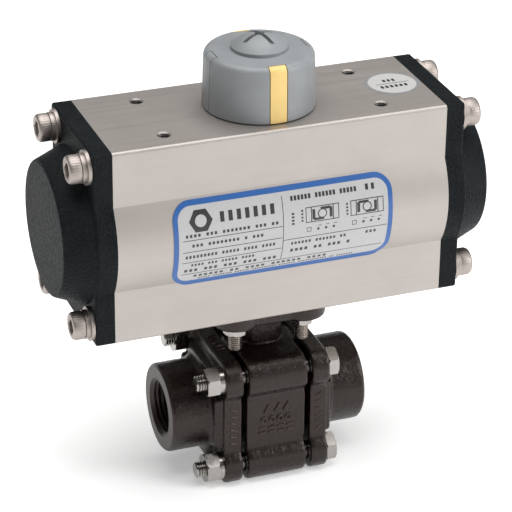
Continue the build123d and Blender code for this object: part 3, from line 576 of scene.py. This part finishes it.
VOXEL = 0.5 * MM
PORT_SLEEVE_R = 11.1 * MM      # bore of the casting's skin, which the port thread fills
SLEEVE_DEPTH = 14.9 * MM       # how far in from each end the skin makes room for it
SLEEVE_WALL = 14.5 * MM        # and how far its wall is pushed straight
PANEL_Y = -21.8 * MM           # sunk front panel that carries the marks
FLANGE_MIDDLE = 16.55          # middle of an end flange, millimetres from the stem axis
MARK_SKIRT = 0.22              # how much wider a mark is at its foot, millimetres
MARK_SUNK = -0.45              # how deep its foot goes below the face, millimetres
TOP_OF_CASTING = HUB_HIGH.z


def raised_bar(build, place, start, end, half, height):
    """Bar with sloping sides between two points of a face; place maps (u, v, height)."""
    along = (Vector(end) - Vector(start)).normalized()
    across = Vector((-along.y, along.x))
    base = half + MARK_SKIRT
    steps = ((base, MARK_SUNK), (base, 0.0), (half, height * 0.8), (half * 0.6, height))
    loops = []
    for grow, level in steps:
        a = Vector(start) - along * grow
        b = Vector(end) + along * grow
        side = across * grow
        corners = [a - side, b - side, b + side, a + side]
        loops.append([place(c.x, c.y, level) for c in corners])
    build.skin(loops, closed=False, lids=True)


def raised_ring(build, place, u, v, radius, half, height, steps=28):
    base = half + MARK_SKIRT
    rims = ((-base, MARK_SUNK), (-base, 0.0), (-half, height * 0.8), (-half * 0.5, height),
            (half * 0.5, height), (half, height * 0.8), (base, 0.0), (base, MARK_SUNK))
    loops = []
    for offset, level in rims:
        r = radius + offset
        angles = [k * TURN / steps for k in range(steps)]
        loops.append([place(u + r * math.cos(a), v + r * math.sin(a), level) for a in angles])
    build.skin(loops)


def on_panel(u, v, level):
    """Point of the front panel, from the crossing of the pipe and stem axes, in millimetres."""
    return Vector((u * MM, PANEL_Y - level * MM, FLOW_Z + v * MM))


def on_flange_top(u, v, level):
    return Vector((u * MM, v * MM, TOP_OF_CASTING + level * MM))


def foundry_marks(material):
    """Raised marks on the castings, all plain bars and rings that spell nothing."""
    build = Builder()
    bold, height = 0.26, 0.5
    thin, low = 0.22, 0.35
    for u in (-3.6, 0.4, 3.9):
        raised_bar(build, on_panel, (u - 0.9, 3.7), (u + 0.6, 6.3), bold, height)
    for k in range(4):
        raised_ring(build, on_panel, -4.7 + 3.1 * k, 0.3, 1.0, bold, height)
    for k in range(4):
        u = -5.4 + 3.6 * k
        for v in (-2.9, -4.9):
            raised_bar(build, on_panel, (u - 0.9, v), (u + 0.9, v), bold, height)
    for side in (-1, 1):
        middle = side * FLANGE_MIDDLE
        for k in range(6):
            v = -7.0 + 2.8 * k
            ends = (middle - 0.9, v), (middle + 0.9, v + 0.8 * side)
            raised_bar(build, on_panel, *ends, thin, low)
        for k in range(5):
            v = -8.0 + 2.6 * k
            raised_bar(build, on_flange_top, (middle - 1.2, v), (middle + 1.2, v + 0.7), 0.24, low)
    build.piece("foundry_marks", "housing", "dark_casting", [material])


def cast_point(co, normal):
    """Where a point of the casting's skin goes: sand-cast waviness, and room for threads."""
    across = Vector((co.y, co.z - FLOW_Z))
    if abs(co.x) > HUB_END_X - SLEEVE_DEPTH and across.length < PORT_SLEEVE_R:
        across *= PORT_SLEEVE_R / max(across.length, 1e-6)
        if abs(co.x) > HUB_END_X - SLEEVE_WALL:
            return Vector((co.x, across.x, FLOW_Z + across.y))
        return co
    between_faces = 9 * MM < abs(co.x) < HUB_END_X - 3 * MM
    machined = across.length < (15 * MM if between_faces else 14.8 * MM)
    if machined or co.z > BODY_LOW.z - 0.4 * MM or abs(co.x) > HUB_END_X - 0.5 * MM:
        return co
    wave = 0.08 * MM * noise.noise(co / (5 * MM)) + 0.05 * MM * noise.noise(co / (1.6 * MM))
    moved = co + normal * wave
    if normal.y < -0.5 and -22.6 * MM < co.y < -21.2 * MM and abs(co.z - FLOW_Z) < 9 * MM:
        moved.y = PANEL_Y + wave
    moved.z = max(moved.z, 0.0)
    return moved


def cast_piece(name, node, material):
    """Rounded and slightly wavy skin of a casting, made from the CAD solid."""
    source = bpy.data.objects.new("source", NODES[node].data.copy())
    bpy.context.scene.collection.objects.link(source)
    source.modifiers.new("weld", "WELD").merge_threshold = 1e-6
    remesh = source.modifiers.new("remesh", "REMESH")
    remesh.mode = "VOXEL"
    remesh.voxel_size = VOXEL
    soften = source.modifiers.new("soften", "SMOOTH")
    soften.factor = 0.5
    soften.iterations = 7
    graph = bpy.context.evaluated_depsgraph_get()
    mesh = bpy.data.meshes.new_from_object(source.evaluated_get(graph))
    bpy.data.objects.remove(source)
    mesh.name = name
    moved = [cast_point(v.co, v.normal) for v in mesh.vertices]
    mesh.vertices.foreach_set("co", [c for point in moved for c in point])
    mesh.update()
    mesh.shade_smooth()
    mesh.materials.clear()
    mesh.materials.append(material)
    return settle(bpy.data.objects.new(name, mesh), "housing", [node])


def castings(material):
    cast_piece("cast_valve_body", "valve_body", material)
    cast_piece("cast_valve_end_right", "valve_end_right", material)
    cast_piece("cast_valve_end_left", "valve_end_left", material)
    foundry_marks(material)


# ---- printed labels -----------------------------------------------------------------

BLUE, WHITE, INK, SILVER, PAPER = range(5)
LABEL_LOW, LABEL_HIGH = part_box("name_label")
LABEL_WIDTH = (LABEL_HIGH.x - LABEL_LOW.x) / MM
LABEL_TALL = (LABEL_HIGH.z - LABEL_LOW.z) / MM
BULGE_R = 29.2
SIDE_Y = 24.35


def on_front(u, v, height):
    """Point of the label, u from its left edge and v down from its top, in millimetres."""
    dz = LABEL_HIGH.z / MM - v - BORE_Z / MM
    kink = -math.sqrt(BULGE_R ** 2 - SIDE_Y ** 2)
    y = SIDE_Y + height
    if dz > kink:
        y = math.sqrt((BULGE_R + height) ** 2 - dz ** 2)
    return Vector((LABEL_LOW.x + u * MM, -y * MM, BORE_Z + dz * MM))


def rows_between(top, bottom, step=0.8):
    """Levels shared by every layer, so that thin layers never cross."""
    first = math.floor(top / step) + 1
    inner = [k * step for k in range(first, math.ceil(bottom / step))]
    return [top] + [v for v in inner if top + 1e-6 < v < bottom - 1e-6] + [bottom]


def rectangle(left, right, top, bottom):
    return [(v, left, right) for v in rows_between(top, bottom)]


def rounded(left, right, top, bottom, radius):
    rows = []
    bends = [radius * (1 - math.cos(k * TURN / 48)) for k in range(13)]
    levels = set(rows_between(top, bottom))
    levels |= {top + b for b in bends}
    levels |= {bottom - b for b in bends}
    for v in sorted(levels):
        depth = max(radius - (v - top), radius - (bottom - v), 0)
        inset = radius - math.sqrt(max(radius ** 2 - depth ** 2, 0))
        inset = min(inset, radius - 0.05)
        rows.append((v, left + inset, right - inset))
    return rows


def disc(u, v, radius, sides=28):
    rows = []
    for k in range(sides // 2 + 1):
        angle = math.pi * k / (sides // 2)
        half = max(radius * math.sin(angle), 0.02)
        rows.append((v - radius * math.cos(angle), u - half, u + half))
    return rows


def hexagon_rows(u, v, radius):
    tall = radius * math.cos(math.pi / 6)
    rows = []
    for k in range(-4, 5):
        level = tall * k / 4
        half = radius - abs(level) * math.tan(math.pi / 6)
        rows.append((v + level, u - half, u + half))
    return rows


def print_line(left, right, top, bottom, words, weight=0.6):
    """A line of print as plain blocks; words are numbers of blocks."""
    pitch = (right - left) / (sum(words) + len(words) - 1)
    shapes = []
    u = left
    for word in words:
        for _ in range(word):
            shapes.append(rectangle(u, u + weight * pitch, top, bottom))
            u += pitch
        u += pitch
    return shapes


def outline(left, right, top, bottom, line=0.3):
    return [rectangle(left, right, top, top + line), rectangle(left, right, bottom - line, bottom),
            rectangle(left, left + line, top, bottom), rectangle(right - line, right, top, bottom)]


def pictogram(left, flip):
    """Plan of the actuator: a framed pair of racks each side of a round pinion."""
    right = left + 12.5
    top, bottom = 8.0, 13.6
    middle = (left + right) / 2
    shapes = outline(left, right, top, bottom)
    shapes += [rectangle(left + 2.0, left + 2.35, top, bottom)]
    shapes += [rectangle(right - 2.35, right - 2.0, top, bottom)]
    near, far = (9.0, 12.6) if flip else (12.6, 9.0)
    for side, level in ((-1, near), (1, far)):
        stem = middle + side * 3.2
        reach = middle - side * 0.6
        shapes.append(rectangle(stem - 0.55, stem + 0.55, 9.0, 12.6))
        low, high = sorted((stem, reach))
        shapes.append(rectangle(low, high, level - 0.45, level + 0.45))
    return shapes


def label_print():
    """Everything printed in black on the name label, all plain shapes, in its millimetres."""
    shapes = [hexagon_rows(10.0, 7.0, 4.3)]
    shapes += print_line(17.0, 38.4, 4.9, 8.4, [7], 0.5)
    shapes += print_line(4.2, 38.6, 11.3, 12.4, [4, 3, 7, 3, 2])
    for level in (13.3, 17.7, 22.0):
        shapes.append(rectangle(3.2, 39.6, level, level + 0.26))
    shapes += print_line(6.5, 33, 15.0, 16.1, [3, 8, 1, 3])
    shapes += print_line(4.2, 37.5, 19.3, 20.5, [9, 5, 4, 4])
    shapes += print_line(6.5, 30, 23.0, 24.0, [4, 3, 5, 4])
    shapes += print_line(4.2, 38.6, 25.2, 26.4, [3, 3, 3, 3, 3])
    shapes.append(rectangle(3.2, 78.0, 27.3, 27.56))
    shapes += print_line(8.0, 58, 28.3, 29.3, [6, 2, 4, 6, 4])
    shapes += print_line(10.0, 68, 29.9, 30.5, [5, 8, 6, 10, 7, 12, 2, 7])
    shapes.append(rectangle(39.8, 40.06, 3.0, 27.3))
    shapes += print_line(43.0, 68.0, 3.5, 5.1, [6, 6, 5], 0.68)
    shapes += print_line(71.0, 75.5, 3.2, 5.2, [2], 0.5)
    for level in range(4):
        shapes.append(rectangle(43.0, 44.0, 9.2 + 1.2 * level, 9.9 + 1.2 * level))
    shapes += pictogram(48.2, False) + pictogram(65.0, True)
    for start in (46.6, 63.4):
        shapes += [rectangle(start, start + 0.7, 8.6 + 1.2 * k, 9.3 + 1.2 * k) for k in range(4)]
    for start in (48.6, 65.6):
        shapes += outline(start, start + 1.7, 15.4, 17.1, 0.22)
        for k in (1, 2, 3):
            shapes.append(disc(start + 1.4 + 2.9 * k, 16.4, 0.5, 12))
            shapes.append(rectangle(start + 1.3 + 2.9 * k, start + 2.9 * k + 2.6, 15.0, 15.22))
    shapes.append(rectangle(39.8, 79.0, 18.9, 19.16))
    shapes += print_line(43.0, 64.0, 20.3, 21.4, [6, 6, 2])
    shapes += print_line(71.0, 75.5, 20.3, 21.4, [3])
    shapes += print_line(43.0, 66.0, 23.2, 24.5, [4, 2, 3, 1])
    return shapes


def label_materials():
    return [printed_film("label_blue", (0.028, 0.118, 0.37)),
            printed_film("label_white", (0.50, 0.50, 0.505)),
            printed_film("label_ink", (0.025, 0.025, 0.028)),
            printed_film("sticker_silver", (0.27, 0.27, 0.28)),
            printed_film("sticker_white", (0.56, 0.555, 0.55))]


def name_label(materials):
    build = Builder()
    border = 1.75
    corner = 6.5
    build.slab(rounded(0, LABEL_WIDTH, 0, LABEL_TALL, corner), on_front, 0, 0.2, BLUE)
    inner = rounded(border, LABEL_WIDTH - border, border, LABEL_TALL - border, corner - border)
    build.slab(inner, on_front, 0.19, 0.212, WHITE)
    for shape in label_print():
        build.slab(shape, on_front, 0.2, 0.222, INK)
    build.slab(disc(10.0, 7.0, 2.1), on_front, 0.215, 0.232, WHITE)
    for u in (48.2 + 6.25, 65.0 + 6.25):
        build.slab(disc(u, 10.8, 1.75, 20), on_front, 0.215, 0.232, INK)
        build.slab(disc(u, 10.8, 1.35, 20), on_front, 0.225, 0.24, WHITE)
    build.piece("printed_name_label", "housing", "label_film", materials, ["name_label"],
                smooth=False)


def round_sticker(materials):
    low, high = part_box("inspection_sticker")
    centre = (low + high) / 2

    def on_top(u, v, height):
        return Vector((centre.x + u * MM, centre.y - v * MM, TOP_Z + height * MM))

    build = Builder()
    build.slab(disc(0, 0, 9.95, 96), on_top, 0, 0.06, SILVER)
    build.slab(disc(0, 0, 8.7, 96), on_top, 0.05, 0.08, PAPER)
    shapes = print_line(-2.6, 2.6, -3.6, -1.6, [3])
    shapes += print_line(-5.4, 5.4, 1.6, 3.6, [6])
    shapes.append(rectangle(-6.3, 6.3, -0.15, 0.15))
    for shape in shapes:
        build.slab(shape, on_top, 0.07, 0.1, INK)
    build.piece("round_sticker", "housing", "sticker_film", materials, ["inspection_sticker"],
                smooth=False)


# ---- the scene ----------------------------------------------------------------------

def add_floor():
    size = 3.0
    data = bpy.data.meshes.new("floor")
    corners = [(-size, -size, 0), (size, -size, 0), (size, size, 0), (-size, size, 0)]
    data.from_pydata(corners, [], [(0, 1, 2, 3)])
    floor = bpy.data.objects.new("floor", data)
    bpy.context.scene.collection.objects.link(floor)
    data.materials.append(paper_white_floor())


def add_lights():
    add_world((1.0, 0.985, 0.97), 0.13)
    add_area_light("overhead", (0.0, 0.1, 1.6), (1.7, 1.7), 30)
    add_area_light("key", (1.0, -0.75, 0.65), (0.6, 0.7), 9)
    add_area_light("front", (0.1, -1.5, 0.35), (1.0, 0.5), 1.2)


def build_pieces():
    cast = dark_casting()
    satin = stainless("satin_stainless", (0.45, 0.40, 0.37), 0.44, 0.56, (900, 900, 900), 0.003)
    dress_cad_nodes(cast, satin)
    castings(cast)
    pipe_ports(turned_casting())
    # The threads' dark tone is painted shade inside the tapped holes, much darker than the
    # aluminium around them.
    small_threads(stainless("thread_painted_shade", (0.15, 0.145, 0.14), 0.4, 0.55))
    cap_screws(satin)
    films = label_materials()
    name_label(films)
    round_sticker(films)


add_camera()
add_lights()
add_floor()
build_pieces()

bpy.context.scene.view_settings.view_transform = "Standard"
